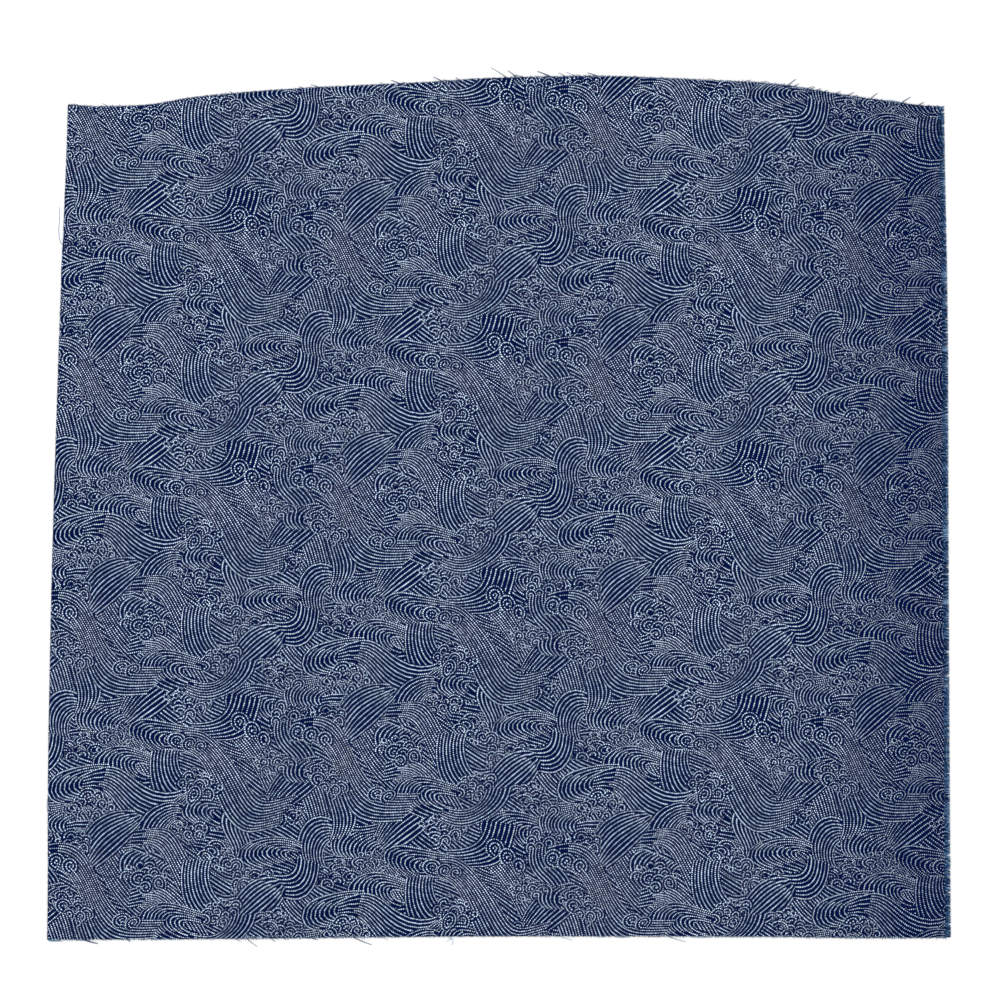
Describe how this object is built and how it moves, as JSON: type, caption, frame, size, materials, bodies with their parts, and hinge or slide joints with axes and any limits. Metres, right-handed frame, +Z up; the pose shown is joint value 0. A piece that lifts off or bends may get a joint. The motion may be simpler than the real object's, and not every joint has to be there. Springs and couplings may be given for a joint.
{
  "type": "fabric remnant",
  "caption": "Flat cut length of printed cotton cloth with four raw frayed edges, a curved top edge and short thread ends standing out all round.",
  "frame": {"origin": "middle of the underside of the cloth's bounding box, on the surface that it lies on", "axes": "+X along the straight bottom edge, towards the fringed right edge; +Y up the printed face, towards the curved top edge; +Z up, out of the printed face"},
  "size_m": [0.5516, 0.5378, 0.0023],
  "materials": {
    "printed_cotton": "matt woven cotton, indigo with a pale blue-grey dotted wave print",
    "cut_threads": "matt cotton thread, indigo to teal blue"
  },
  "bodies": {
    "root": {"cloth": "printed_cotton", "fringe_right": "cut_threads", "fray_top": "cut_threads", "fray_bottom": "cut_threads", "fray_left": "cut_threads"}
  },
  "joints": []
}
